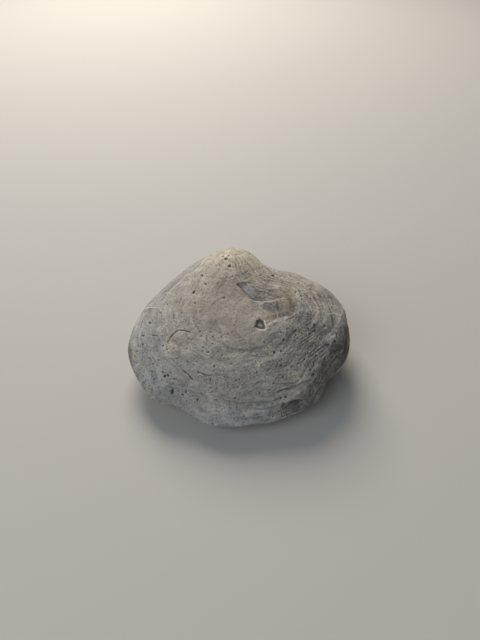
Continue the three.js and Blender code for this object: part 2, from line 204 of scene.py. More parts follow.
# Dark patches: in the chip and a few others the stone's own dark colour; the ones on the right flank and
# right rim, at the lower right, under the line of pits and along the left edge are painted shade where the
# surface turns away from the light
DARK_AND_SHADE = (
    (4.2, 6.4, 3.6, 2.6, -20, 0.7), (1.3, 8.4, 2.2, 1.4, -50, 0.35), (6.5, 4.8, 3.5, 1, 0, 0.6),
    (8, 7.5, 3.5, 2.4, 0, 0.35), (9.2, 1.9, 3.4, 2, 10, 0.65), (5.8, 1, 1.6, 1.8, 0, 0.4),
    (11, 5.5, 2, 1.2, 20, 0.25), (14, 1.8, 4.5, 2.2, 20, 0.4), (15.6, -25.8, 3.8, 1.7, 15, 0.7),
    (18.8, -24.2, 3.5, 1.8, 25, 0.68), (22.5, -20.6, 3, 2, 35, 0.5), (3, -12.2, 8, 1.5, 3, 0.45),
    (12.5, -8, 6.5, 4, 25, 0.6), (19, -2.6, 4.6, 2.8, 40, 0.9), (15.5, -6, 4.5, 2.6, 35, 0.8),
    (12.5, -1, 3, 1.4, 18, 0.7), (30.3, -9.5, 2.2, 5, -22, 0.5), (26, -15, 3, 5, -40, 0.6),
    (-21.8, 12.8, 2.5, 1, 48, 0.45), (21.5, -3, 5, 2, 50, 0.3), (19.8, 18.6, 1.8, 1, 0, 0.3),
    (32.3, -5.5, 1.5, 7.5, -12, 1), (18, -8, 10, 6.5, 35, 0.4), (27.5, -3, 4, 3, 60, 0.35),
    (1, -13, 14, 3, 3, 0.2), (10.5, -16.5, 4.5, 2.5, 20, 0.45), (21, -10, 5, 4, 40, 0.3),
    (-4, -4.5, 6, 3, 0, 0.2), (-14.5, -2.2, 4, 2.5, 0, 0.15), (18.5, 3, 2.5, 2.5, 0, 0.3),
    (14.5, 3.4, 2, 1.5, 20, 0.25), (-33.8, -9.5, 1.4, 5, 6, 0.7), (-27, -1.5, 2.5, 2.5, 0, 0.15),
    (1, 12.8, 2.2, 1.1, -15, 0.35), (14.4, 8.2, 1.2, 0.8, 20, 0.4),
)
# Bluish patches: the one in the chip and the one at the lower left are a bluish tone of the stone; the four
# along the front edge are painted light, the cool fill catching the front rim where it turns down
BLUISH_AND_RIM_LIGHT = (
    (2.9, 7.4, 1.9, 1.3, -30, 0.8), (-6, -27.8, 9, 2, -4, 0.5), (6, -27.8, 5, 2.2, 8, 0.8),
    (3.5, -29.4, 9, 2, 4, 1), (-9, -29.2, 7, 2, -6, 0.9), (-24, -18, 4, 2.5, -50, 0.4),
)
# Pale patches: mostly paler stone; the two on the front edge are painted light on the front rim, and the
# two along the far left edge are a painted highlight where the light from behind grazes the rim
PALE_AND_HIGHLIGHT = (
    (-20, -10.8, 2.6, 2.2, -20, 1), (-15.5, -12.4, 3, 1.2, -8, 0.6), (-10.5, -13, 2.5, 0.9, 0, 0.4),
    (16, -18.8, 2.8, 1.6, 12, 1), (-3.3, -11.8, 1.6, 0.9, 0, 0.6), (-1, -13.8, 2.5, 1.2, -10, 0.4),
    (5.4, -16.2, 1, 0.7, 0, 0.9), (29.5, 1.7, 2.6, 0.6, 12, 0.7), (22, -21, 0.5, 0.45, 0, 1),
    (16.5, -22.9, 3.5, 1, 18, 0.4), (22, -8.4, 1.4, 1, 40, 0.4), (-19, -19, 2.8, 0.5, -28, 0.5),
    (2.5, -27.4, 1.8, 1, 0, 0.5), (-7.8, -27.5, 1.8, 0.9, 0, 0.5), (-1.5, 23, 9, 8, 0, 0.6),
    (-9, 21, 4, 4.5, 10, 0.5), (-11.5, 17.3, 2.6, 1.3, 20, 0.5), (15.5, 14, 2, 3.4, -10, 0.4),
    (12, 16.5, 8, 3.5, -25, 0.35), (20, 11.5, 5, 3, -25, 0.45), (23.5, 6, 2.2, 2, 0, 0.3),
    (8, 18.4, 5.5, 1.7, -33, 0.65), (15.8, 16.6, 3.6, 1.6, -4, 0.55), (-32.1, -7, 1, 3, 8, 0.5),
    (24, 16, 5, 2, -30, 0.3), (-27.5, 12, 6, 0.9, 50, 0.3), (-32.3, 2.5, 1.4, 5, 12, 0.6),
    (24.5, 3.5, 3, 2, 60, 0.35), (-24.5, 3.2, 3.5, 0.6, -28, 0.4),
)

# Places given like the patches: worn and coarse ones of the upper valve, and quiet ones with weak
# growth lines and hardly a flake gone
WORN_PLACES = ((-3, 1, 9, 9, 0, 1), (1, -6, 7, 5.5, 0, 1))
COARSE_PLACES = ((21, -9, 12, 9, 45, 1), (25, 8, 8, 10, 0, 0.6))
QUIET_PLACES = ((28.5, 1, 6, 6, 0, 1), (6.3, 1, 3.5, 3.5, 0, 1))

# Smooth shell to the right of the beaks on both valves: its middle and its spread
SMOOTH_SHELL = (14, 20)
SMOOTH_SHELL_SPREAD = 5

# Fields of fine scratches on the right flank, given like the patches. The scratches run along the
# turn, so many millimetres apart
STRIAE = (
    (19.6, -9, 3.2, 2.4, 37, 1), (22.6, -12.2, 3.2, 2.4, 40, 1), (26, -7, 2.6, 1.4, 48, 0.4),
)
SCRATCH_PITCH = 0.8

# Rings of each valve from its middle to the seam: how many points a ring has, and how many rings
UPPER_BANDS = ((160, 30), (320, 34), (640, 99))
LOWER_BANDS = ((160, 24), (320, 44))

# Half width and half height of the ellipse along which the rings lie at even distances
RING_ELLIPSE = (35, 18)

# Cells after which the lattice of the noises and pores repeats, and how far apart the places lie
# that they are read at for the two valves
LATTICE = 32
VALVES_APART = 50

# Stage, in metres: a ring of the floor, how far out it is flat, the quarter turn round that, and
# the top of its wall; and how many sides it has
FLOOR_RING = 0.3
FLOOR_FLAT = 0.55
FLOOR_BEND = 1.25
WALL_HEIGHT = 2
FLOOR_SIDES = 64

# What the lights face, in millimetres. For each light the azimuth, elevation and distance of its
# place, its size and its colour, and the colour and strength of the sky
LIGHT_AIM = (0, 0, 12)
KEY_LIGHT = ((-14, 38, 0.8), 0.45, (1, 0.93, 0.82))
FILL_LIGHT = ((232, 36, 0.9), 0.9, (0.9, 0.94, 1))
SKY = {"Color": (0.75, 0.82, 0.9, 1), "Strength": 0.18}

# What the camera looks at, and its sensor and lens, all in millimetres
CAMERA_AIM = (0.02, 4.57, 12)
SENSOR_WIDTH = 36
LENS = 27


def smooth(x, low, high):
    """0 below low, 1 above high, and 3t^2 - 2t^3 between them, t being the share of the way."""
    t = np.clip((x - low) / (high - low), 0, 1)
    return t * t * (3 - 2 * t)


def bell(angle, at, spread):
    """1 at the angle `at`, falling off smoothly over `spread` degrees to both sides of it."""
    return np.exp((np.cos(angle - np.radians(at)) - 1) / np.radians(spread) ** 2)


def noise(points, seed):
    """Gradient noise, about -1 to 1: each corner of a cubic lattice has a random direction, whose
    dot product with the way from the corner is blended over the cell."""
    random = np.random.default_rng(seed).normal(size=(LATTICE,) * 3 + (3,))
    table = random / np.linalg.norm(random, axis=-1, keepdims=True)
    cell = np.floor(points).astype(int)
    way = points - cell
    blend = way * way * way * (way * (way * 6 - 15) + 10)
    total = np.zeros(points.shape[:-1])
    for corner in np.ndindex(2, 2, 2):
        direction = table[tuple(np.moveaxis((cell + corner) % LATTICE, -1, 0))]
        share = np.prod(np.where(corner, blend, 1 - blend), axis=-1)
        total += share * ((way - corner) * direction).sum(-1)
    return total * 1.7


def layered_noise(points, seed, octaves):
    """Sum of octaves of noise, each with double the frequency and half the height."""
    return sum(noise(points * 2 ** k + 17.3 * k, seed + k) / 2 ** k for k in range(octaves))


def pores(points, cell, seed, share):
    """Depth from 0 to 1 of round holes: one ball, at a random place and of a random size, in a
    share of the cells of a lattice; the depth falls from a ball's middle to its skin."""
    random = np.random.default_rng(seed)
    centres = random.random((LATTICE, LATTICE, LATTICE, 3))
    radii = random.uniform(0.12, 0.36, (LATTICE,) * 3) * (random.random((LATTICE,) * 3) < share)
    home = np.floor(points / cell).astype(int)
    depth = np.zeros(len(points))
    for step in np.ndindex(3, 3, 3):
        near = home + np.array(step) - 1
        index = tuple(np.moveaxis(near % LATTICE, -1, 0))
        away = np.linalg.norm(points / cell - near - centres[index], axis=-1)
        radius = radii[index]
        depth = np.maximum(depth, np.where(radius > 0, 1 - away / np.maximum(radius, 1e-6), 0))
    return depth


def edge_points(count):
    """Points at even distances along the edge: a closed Catmull-Rom spline through EDGE, read at
    fine steps of its parameter and then at even steps of its length."""
    steps = 64 * len(EDGE)
    place = np.arange(steps + 1) / 64
    i = np.floor(place).astype(int)
    x = (place - i)[:, None]
    a, b, c, d = (EDGE[(i + k) % len(EDGE)] for k in (-1, 0, 1, 2))
    curve = b + 0.5 * x * ((c - a) + x * ((2 * a - 5 * b + 4 * c - d) + x * (3 * (b - c) + d - a)))
    length = np.append(0, np.cumsum(np.linalg.norm(np.diff(curve, axis=0), axis=1)))
    at = np.arange(count) / count * length[-1]
    return np.stack([np.interp(at, length, curve[:, k]) for k in (0, 1)], -1)


def valve_surface(valve, ways, count):
    """Points of a valve on rings: u, v and w, as an array of rings by count by 3.

    A ring's way goes from 0 in the valve's middle to 1 at the seam, as a quarter turn whose sine
    is its reach. The place in the plane goes by the reach from the middle to the edge, which
    softens to the oval inwards, less the seam's groove and the hinge's valleys. The height is
    swell * (1 - reach^a)^b, with a and b by the direction, and a bell on the beak.
    """
    edge = edge_points(count)
    angle = np.arctan2(edge[:, 1], edge[:, 0])
    turn = np.asarray(ways)[:, None] * np.pi / 2
    reach = np.sin(turn) * np.ones(count)
    right, back, left = bell(angle, -12, 32), bell(angle, 92, 40), bell(angle, 165, 40)
    roundness = valve["roundness"] + 0.5 * back
    steepness = valve["steepness"] - 0.25 * back - 0.12 * right
    if valve["side"] > 0:
        roundness = roundness + 1.6 * right + 0.3 * left
        steepness = steepness - 0.12 * right - 0.12 * left

    radius = 1 / np.hypot(np.cos(angle) / OVAL_HALF[0], np.sin(angle) / OVAL_HALF[1])
    oval = OVAL_MIDDLE + radius[:, None] * np.stack([np.cos(angle), np.sin(angle)], -1)
    blend = reach[..., None] ** OVAL_BLEND
    outward = oval * (1 - blend) + edge * blend - valve["middle"]
    off = np.pi / 2 - turn
    hollow = SEAM_GROOVE_DEPTH * np.exp(-(off / SEAM_GROOVE_WIDTH) ** 2)
    for depth, width, at, spread in HINGE_VALLEYS:
        hollow = hollow + depth * bell(angle, at, spread) * np.exp(-(off / width) ** 2)
    share = reach * (1 - hollow / np.linalg.norm(outward, axis=-1))
    place = valve["middle"] + outward * share[..., None]

    height = valve["swell"] * np.clip(1 - reach ** roundness, 0, 1) ** steepness
    away = np.linalg.norm(place - valve["beak"], axis=-1) / valve["beak_width"]
    height = height + valve["beak_rise"] * np.exp(-away ** 2 / 2) * (1 - reach ** 6)
    return np.concatenate([place, valve["side"] * height[..., None]], -1)


def lay(points):
    """The stone as it lies: the seam's plane tilted about the u axis and lifted off the ground."""
    u, v, w = np.moveaxis(points, -1, 0)
    y = v * np.cos(TILT) - w * np.sin(TILT) + SHIFT[1]
    return np.stack([u + SHIFT[0], y, v * np.sin(TILT) + w * np.cos(TILT) + SEAM_HEIGHT], -1)


def valve_rings(valve, bands):
    """Points of a valve's rings from its middle outwards, and how many points each ring has. The
    rings lie at even distances along a quarter of an ellipse, RING_ELLIPSE wide and high."""
    counts = np.repeat([count for count, _ in bands], [rings for _, rings in bands])
    turn = np.linspace(0, np.pi / 2, 500)
    speed = np.hypot(RING_ELLIPSE[0] * np.cos(turn), RING_ELLIPSE[1] * np.sin(turn))
    length = np.cumsum(speed) - speed[0]
    ways = np.interp(np.arange(1, len(counts) + 1) / len(counts), length / length[-1], turn * 2 / np.pi)
    points = [valve_surface(valve, ways[counts == count], count).reshape(-1, 3) for count, _ in bands]
    return np.concatenate(points), counts


def ring_faces(inner, outer, m, n):
    """Triangles between a ring of m points and the next one out of n, the same or double, from
    the numbers of their first points. They turn clockwise seen from above the valve."""
    j = np.arange(m)
    a, b = inner + j, inner + (j + 1) % m
    if n == m:
        c, d = outer + j, outer + (j + 1) % n
        return np.concatenate([np.stack([a, c, d], -1), np.stack([a, d, b], -1)])
    c, d, e = outer + 2 * j, outer + 2 * j + 1, outer + (2 * j + 2) % n
    return np.concatenate([np.stack(t, -1) for t in ((a, c, d), (a, d, b), (b, d, e))])


def stone_grid():
    """The closed surface before its relief: points u, v, w, triangles, and each point's side. The
    seam ring belongs to the upper valve, and the lower valve's last ring joins half its points."""
    upper, upper_counts = valve_rings(UPPER, UPPER_BANDS)
    lower, lower_counts = valve_rings(LOWER, LOWER_BANDS)
    lower_counts = lower_counts[:-1]
    lower = lower[:lower_counts.sum()]
    middles = [valve_surface(valve, [0], 1).reshape(1, 3) for valve in (UPPER, LOWER)]
    points = np.concatenate([middles[0], upper, middles[1], lower])
    side = np.repeat([1, -1], [len(upper) + 1, len(lower) + 1])

    faces = []
    for start, counts, lower_side in ((0, upper_counts, False), (len(upper) + 1, lower_counts, True)):
        firsts = start + 1 + np.append(0, np.cumsum(counts))
        j = np.arange(counts[0])
        fan = np.stack([np.full_like(j, start), firsts[0] + j, firsts[0] + (j + 1) % counts[0]], -1)
        rings = [fan] + [
            ring_faces(firsts[i], firsts[i + 1], counts[i], counts[i + 1]) for i in range(len(counts) - 1)]
        if lower_side:
            seam = 1 + len(upper) - upper_counts[-1]
            rings.append(ring_faces(firsts[-2], seam, counts[-1], upper_counts[-1]))
        rings = np.concatenate(rings)
        faces.append(rings if lower_side else rings[:, ::-1])
    return points, np.concatenate(faces), side


def growth_age(u, v):
    """Age of the growth line through a point, 0 at the beak and 1 at the edge: the distance from
    the start over that distance plus the way to the edge. Then the way that is left, drawn longer
    where the whole way is short, the distance, and the bearing. The way to the edge leans to the
    nearest of it: one over the fifth root of the sum of the distances to the power of minus six."""
    away = np.stack([u, v], -1) - GROWTH_START
    distance = np.linalg.norm(away, axis=-1)
    edge = edge_points(500)
    step = np.linalg.norm(np.diff(edge, axis=0), axis=-1).mean()
    near = np.zeros(len(u))
    for at_u, at_v in edge:
        near += 1 / ((u - at_u) ** 2 + (v - at_v) ** 2 + 0.25) ** 3
    way = (near * step * 8 / (3 * np.pi)) ** -0.2
    whole = distance + way
    left = way * np.sqrt(GROWTH_LENGTH / whole)
    return distance / whole, left, distance, np.arctan2(away[:, 0], -away[:, 1])


def line_distance(line, u, v):
    """Distance from points to a line of straight stretches, negative on its left-hand side, the
    end stretches going on for ever, and how far past its two ends each point lies."""
    line = np.array(line, float)
    near = np.full(u.shape, np.inf)
    signed, past = np.zeros(u.shape), np.zeros(u.shape)
    for i, (a, b) in enumerate(zip(line[:-1], line[1:])):
        span = np.linalg.norm(b - a)
        ahead = (b - a) / span
        along = (u - a[0]) * ahead[0] + (v - a[1]) * ahead[1]
        across = (v - a[1]) * ahead[0] - (u - a[0]) * ahead[1]
        short = np.maximum(-along, 0) if i > 0 else 0 * along
        long = np.maximum(along - span, 0) if i + 2 < len(line) else 0 * along
        distance = np.sqrt(across ** 2 + short ** 2 + long ** 2)
        nearer = distance < near
        near = np.where(nearer, distance, near)
        signed = np.where(nearer, -np.sign(across) * distance, signed)
        past = np.where(nearer, np.maximum(np.maximum(-along, along - span), 0) - short - long, past)
    return signed, past


def turned(u, v, turn):
    """The place u, v measured along and across a direction turned by so many degrees."""
    c, s = np.cos(np.radians(turn)), np.sin(np.radians(turn))
    return c * u + s * v, c * v - s * u


def patches(u, v, table):
    """Mask of colour patches: each is 1 in its middle and falls smoothly to 0 across an oval of
    its half widths that is turned by so many degrees, times its strength."""
    mask = np.zeros(len(u))
    for at_u, at_v, half_u, half_v, turn, strength in table:
        along, across = turned(u - at_u, v - at_v, turn)
        away = np.hypot(along / half_u, across / half_v)
        mask = np.maximum(mask, strength * (1 - smooth(away, 0.55, 1.25)))
    return mask


def terraces(height, count, width):
    """A smooth height from -1 to 1 turned into steps: so many to a unit, each rising over this
    share of its run."""
    place = height * count
    return (np.floor(place) + smooth(place - np.floor(place), 1 - width, 1)) / count


def growth_force(u, v, distance, bearing, top, worn, coarse, still):
    """How strong the growth lines are: most on the right, less where the stone is worn or coarse and
    on its still left side, fading at their start, round the back and on the smooth shell."""
    force = (1 - 0.6 * worn) * (0.5 - 0.22 * still + 0.4 * smooth(bearing, 0.1, 0.8) - 0.12 * coarse)
    force = np.where(top, force, LOWER_FORCE)
    force *= (1 - 0.5 * smooth(v, 23, 28)) * (1 - 0.5 * smooth(np.abs(bearing), 1.7, 2.3))
    force *= 0.4 + 0.6 * smooth(distance, 2, 8)
    away = np.hypot(u - SMOOTH_SHELL[0], v - SMOOTH_SHELL[1])
    return force * (1 - 0.7 * np.exp(-(away / SMOOTH_SHELL_SPREAD) ** 2))


def growth_relief(age, left, distance, bearing, space, top):
    """Height of the growth lines: ridges that follow the age, bands and fine streaks drawn out
    along the edge, and thin flakes of shell whose edges are the steps of a drawn-out noise. The
    place that the noises are read at comes last: the way that is left, and the bearing as a point
    on a circle that moves on with the distance."""
    warp = layered_noise(space / 10, 1, 2)
    along = distance / 25
    grown = np.stack([0.8 * warp - 0.6 * left, np.sin(bearing) * 2.2 + along, np.cos(bearing) * 2.2], -1)
    grown[:, 0] += np.where(top, 0, VALVES_APART)
    bands = layered_noise(grown * (0.45, 0.8, 0.8), 10, 2)
    streaks = layered_noise(grown * (1.8, 1.8, 1.8), 20, 3)
    fine = layered_noise(grown * (3.6, 6, 6), 30, 2)
    ridges = np.abs(np.sin(np.pi * (RIDGE_COUNT * age ** RIDGE_CROWDING + 0.3 * warp))) ** 0.7 - 0.65
    flakes = layered_noise(grown * (0.5, 1.1, 1.1) + 3.1, 35, 5)
    steps = terraces(flakes, 5, 0.25) - flakes
    late = smooth(age, 0.3, 0.85)
    return late * (0.5 * ridges + 0.6 * bands), 0.7 * streaks + fine, steps, grown


def nearest_line(lines, u, v):
    """How strong the nearest of some lines is, fading out beyond a millimetre, and the distance
    to it, positive on its right-hand side: for lines finer than the mesh."""
    strength, way = np.zeros(len(u)), np.zeros(len(u))
    for line, force in lines:
        across, past = line_distance(line, u, v)
        near = force * (1 - smooth(past, 0, 0.8)) * (1 - smooth(np.abs(across), 0.7, 1.2))
        way = np.where(near > strength, across, way)
        strength = np.maximum(strength, near)
    return strength, way


def striae(u, v, top, shift):
    """Mask of the fields of fine scratches, and the way across the scratches in millimetres."""
    mask, way = np.zeros(len(u)), np.zeros(len(u))
    for field in STRIAE:
        at_u, at_v, _, _, turn, _ = field
        here = patches(u + shift[0], v + shift[1], (field,)) * top
        way = np.where(here > mask, turned(u - at_u, v - at_v, turn)[1], way)
        mask = np.maximum(mask, here)
    return mask, way


def ledge_relief(u, v, shift):
    """Drop below the ledges, and how newly bare the stone under them is."""
    drops, bare = np.zeros(len(u)), np.zeros(len(u))
    for line, drop, reach in LEDGES:
        below, past = line_distance(line, u + shift[0], v + shift[1])
        fall = (1 - smooth(past, 0, LEDGE_END)) * smooth(below, -LEDGE_WIDTH / 2, LEDGE_WIDTH / 2)
        drops += drop * fall * (1 - smooth(below, 0, reach))
        bare = np.maximum(bare, smooth(drop, 0, 0.4) * fall * (1 - smooth(below, 0, reach * 0.5)))
    return drops, bare


def pit_relief(u, v, shift, ragged):
    """Depth of the pits, of the pit with corners, and of the cracks, how much they are darkened,
    and the pale rim of the pit with corners. A pit's depth falls off smoothly across its turned
    and stretched circle; the pit with corners falls by the distance inside its farthest side."""
    depth = np.zeros(len(u))
    for at_u, at_v, radius, deep, stretch, turn in PITS:
        along, across = turned(u + ragged[0] - at_u, v + ragged[1] - at_v, turn)
        away = np.hypot(along / stretch, across) / (1.15 * radius - 0.1)
        depth = np.maximum(depth, 0.85 * deep * (1 - smooth(away, 0.45, 1.2)))

    corners = np.array(CORNER_PIT)
    outside = np.full(len(u), -np.inf)
    for a, b in zip(corners, np.roll(corners, -1, axis=0)):
        ahead = (b - a) / np.linalg.norm(b - a)
        across = (v + shift[1] * 0.3 - a[1]) * ahead[0] - (u + shift[0] * 0.3 - a[0]) * ahead[1]
        outside = np.maximum(outside, across)
    floor = 0.7 + 0.3 * smooth(np.hypot(u - CORNER_PIT_FLOOR[0], v - CORNER_PIT_FLOOR[1]), 0.2, 0.9)
    filled = smooth(depth, 0.08, 0.5)
    depth = np.maximum(depth, CORNER_PIT_DEPTH * floor * (1 - smooth(outside, -0.3, 0.12)))
    walls = smooth(outside, -0.75, -0.3) * (1 - smooth(outside, -0.05, 0.2))
    filled = np.maximum(filled, 0.3 * (1 - smooth(outside, -0.2, 0.1)) + 0.6 * walls)
    facing = smooth(0.8 * (u - CORNER_PIT_RIM[0]) - 0.6 * (v - CORNER_PIT_RIM[1]), -0.4, 0.8)
    rim = facing * np.exp(-((outside - 0.3) / 0.2) ** 2)

    for line, deep in CRACKS:
        across, past = line_distance(line, u + shift[0] * 0.5, v + shift[1] * 0.5)
        gap = (1 - smooth(np.abs(across), 0.05, CRACK_WIDTH)) * (1 - smooth(past, 0, 0.5))
        depth = np.maximum(depth, deep * gap * np.clip(0.6 + 2 * ragged[0], 0.25, 0.9))
    return depth, filled, rim


def relief(points, side, settings):
    """Height of the surface's detail along its normal, in millimetres, and masks for its colours.

    The height adds growth lines, low swells and rough grain, and takes off the ledges, pits,
    cracks and pores. Their places are shifted a little by noise, so no edge runs straight. The
    place that noises along the growth lines are read at comes last."""
    u, v, _ = points.T
    top = side > 0
    age, left, distance, bearing = growth_age(u, v)
    space = points + np.where(top, 0, VALVES_APART)[:, None]
    shift = np.stack([layered_noise(space / 1.6, seed, 2) for seed in (70, 72)]) * 0.32
    ragged = np.stack([noise(space / 0.8, seed) for seed in (82, 83)]) * 0.22
    wide = np.stack([layered_noise(space / 3.5, seed, 3) for seed in (74, 77)]) * 1.3

    worn = patches(u + wide[0], v + wide[1], WORN_PLACES) * top
    coarse = patches(u + wide[0], v + wide[1], COARSE_PLACES) * top
    quiet = patches(u, v, QUIET_PLACES)
    still = smooth(-bearing, -0.35, 0.1) * smooth(age, 0.4, 0.6) * (1 - smooth(-bearing, 1.2, 1.6))
    force = growth_force(u, v, distance, bearing, top, worn, coarse, still) * (1 - 0.45 * quiet)
    bands, lines, steps, grown = growth_relief(age, left, distance, bearing, space, top)
    height = settings.ridge_height / MM * bands * force + settings.line_height / MM * lines * force
    height += settings.flake_height / MM * steps * force * (1 - 0.85 * quiet)
    height += settings.swell_height / MM * layered_noise(space / 8, 40, 2)
    grain = 0.7 * layered_noise(space / 1.6, 50, 3) + 0.9 * layered_noise(space / 0.6, 60, 2)
    height += settings.grain_height / MM * (1 - 0.4 * worn - 0.25 * still + 0.3 * coarse) * grain

    drops, bare = ledge_relief(u, v, shift * 0.5)
    holes, filled, rim = pit_relief(u, v, shift, ragged)
    across, past = line_distance(SHOULDER, u + wide[0] * 0.4, v + wide[1] * 0.4)
    crown = np.exp(-(across / np.where(across > 0, 1.3, 3)) ** 2) * (1 - smooth(past, 0, 5))
    crests = nearest_line(CRESTS_AND_GLINTS, u + shift[0] * 0.25, v + shift[1] * 0.25)
    cracks = nearest_line(
        [(line, min(1, 0.25 + 2 * deep)) for line, deep in CRACKS], u + shift[0] * 0.5, v + shift[1] * 0.5)
    scratched, scratch_way = striae(u, v, top, shift)
    dense = 0.35 + 0.3 * coarse + 0.35 * smooth(layered_noise(space / 7, 91, 2), -0.4, 0.4)
    dense += 0.25 * smooth(-v, -2, 14) - 0.6 * scratched
    specks = np.maximum(pores(space, 1.25, 80, 0.8) - 1 + dense, 0) * (1 - 0.5 * worn)
    small = settings.pore_depth / MM * smooth(specks, 0, 0.5)
    wider = smooth(pores(space + 0.5 * shift.mean(0)[:, None], 2.7, 84, 0.3), 0, 0.6) * (1 - top)
    small = np.maximum(small, 2 * settings.pore_depth / MM * wider)
    height += top * (SHOULDER_RISE * crown - drops - holes + 0.07 * rim) - small

    seen = {
        "worn": worn, "bare": bare, "rim": rim,
        "crest": crests[0], "crest_way": crests[1], "crack": cracks[0], "crack_way": cracks[1],
    }
    # Patches of colour: the dark ones are mostly painted shade, the bluish and pale ones partly painted
    # light
    for name, table, k in (
            ("ochre", OCHRE, 1), ("dark", DARK_AND_SHADE, 0.5), ("bluish", BLUISH_AND_RIM_LIGHT, 0.5), ("pale", PALE_AND_HIGHLIGHT, 0.3)):
        seen[name] = patches(u + wide[0] * k, v + wide[1] * k, table)
    masks = {name: values * top for name, values in seen.items()}
    masks["striae"], masks["striae_way"] = scratched, scratch_way
    stains, clouds = layered_noise(space / 11, 95, 3), layered_noise(space / 6, 97, 3)
    masks["ochre"] += (1 - top) * 0.6 * smooth(stains, 0.1, 0.5)
    masks["pale"] += (1 - top) * 0.5 * smooth(-stains, 0.15, 0.5)
    masks["dark"] += (1 - top) * 0.35 * smooth(clouds, 0.15, 0.6)
    masks["holes"] = np.clip(top * filled + small / 0.12, 0, 1)
    masks["age"] = age
    masks["force"] = force
    return height, masks, grown


def triangle_normals(points, faces):
    """Normals of the points: the sum of the normals of the triangles that meet there, by area."""
    a, b, c = (points[faces[:, k]] for k in range(3))
    flat = np.cross(b - a, c - a)
    total = np.stack(
        [np.bincount(faces.ravel(), np.repeat(flat[:, k], 3), len(points)) for k in range(3)], -1)
    return total / np.linalg.norm(total, axis=1, keepdims=True)


def neighbour_mean(values, faces, rounds):
    """The values after so many rounds of giving each point the mean of its neighbours."""
    ahead, behind = faces.ravel(), np.roll(faces, 1, axis=1).ravel()
    count = np.bincount(ahead, minlength=len(values))
    for _ in range(rounds):
        values = np.bincount(ahead, values[behind], len(values)) / count
    return values


def stone_mesh(settings):
    """The stone's mesh in metres: the grid, laid down, moved along its normals by the relief, and
    cut off flat where it rests, with its masks as attributes of its points."""
    points, faces, side = stone_grid()
    height, masks, grown = relief(points, side, settings)
    height *= 0.5 + 0.5 * smooth(np.abs(points[:, 2]), 0, 1)
    body = lay(points)
    body = body + triangle_normals(body, faces) * height[:, None]
    body[:, 2] = np.maximum(body[:, 2], 0)
    # Painted shade in the hollows of the relief and painted light on its bumps: how far a point lies below
    # the mean of its neighbours darkens its colour, how far above lightens it
    masks["hollow_shade_and_ridge_light"] = np.clip((neighbour_mean(height, faces, 8) - height) / 0.1, -1, 1)

    mesh = bpy.data.meshes.new(PIECE)
    mesh.from_pydata(body * MM, [], faces, shade_flat=False)
    if mesh.validate():
        raise RuntimeError("the stone's mesh had faults that Blender took out")
    for name, values in masks.items():
        mesh.attributes.new(name, "FLOAT", "POINT").data.foreach_set("value", values.astype(np.float32))
    lines = mesh.attributes.new("growth", "FLOAT_VECTOR", "POINT")
    lines.data.foreach_set("vector", grown.astype(np.float32).ravel())
    return mesh


class NodeTree:
    """Short ways to add and join nodes of a material or a node group."""

    def __init__(self, tree):
        self.tree = tree
        self.column = 0

    def add(self, kind, inputs=None, **values):
        """A new node of this kind with its values set and its inputs set or linked."""
        node = self.tree.nodes.new(kind)
        self.column += 1
        node.location = (self.column * 180, -(self.column % 5) * 220)
        for name, value in values.items():
            setattr(node, name, value)
        for name, value in (inputs or {}).items():
            socket = node.inputs[name]
            if isinstance(value, bpy.types.NodeSocket):
                self.tree.links.new(value, socket)
            else:
                socket.default_value = value
        return node

    def mask(self, name):
        """Value of one of the mesh's attributes."""
        return self.add("ShaderNodeAttribute", attribute_name=name).outputs["Fac"]

    def math(self, operation, a, b=0.0):
        """Result of one operation on two values."""
        return self.add("ShaderNodeMath", {0: a, 1: b}, operation=operation).outputs[0]

    def times(self, first, *others):
        """Product of values."""
        for other in others:
            first = self.math("MULTIPLY", first, other)
        return first

    def plus(self, first, *others):
        """Sum of values."""
        for other in others:
            first = self.math("ADD", first, other)
        return first

    def spread(self, value, low, high, to_low=0.0, to_high=1.0):
        """A value's range low to high stretched to another, clamped."""
        inputs = {"Value": value, "From Min": low, "From Max": high, "To Min": to_low, "To Max": to_high}
        return self.add("ShaderNodeMapRange", inputs, clamp=True).outputs[0]

    def noise(self, place, scale, detail=4.0, roughness=0.6):
        """Noise from 0 to 1 with this many waves to a metre."""
        inputs = {"Vector": place, "Scale": scale, "Detail": detail, "Roughness": roughness}
        return self.add("ShaderNodeTexNoise", inputs).outputs["Fac"]

    def drawn_out(self, factors, detail, roughness):
        """Noise from 0 to 1 along the growth lines: read at the growth attribute times factors."""
        growth = self.add("ShaderNodeAttribute", attribute_name="growth").outputs["Vector"]
        place = self.add("ShaderNodeVectorMath", {0: growth, 1: factors}, operation="MULTIPLY")
        return self.noise(place.outputs[0], 1.0, detail, roughness)

    def mix(self, factor, a, b, blend="MIX"):
        """Two colours mixed."""
        inputs = {"Factor": factor, 6: a, 7: b}
        return self.add(
            "ShaderNodeMix", inputs, data_type="RGBA", blend_type=blend, clamp_factor=True).outputs[2]


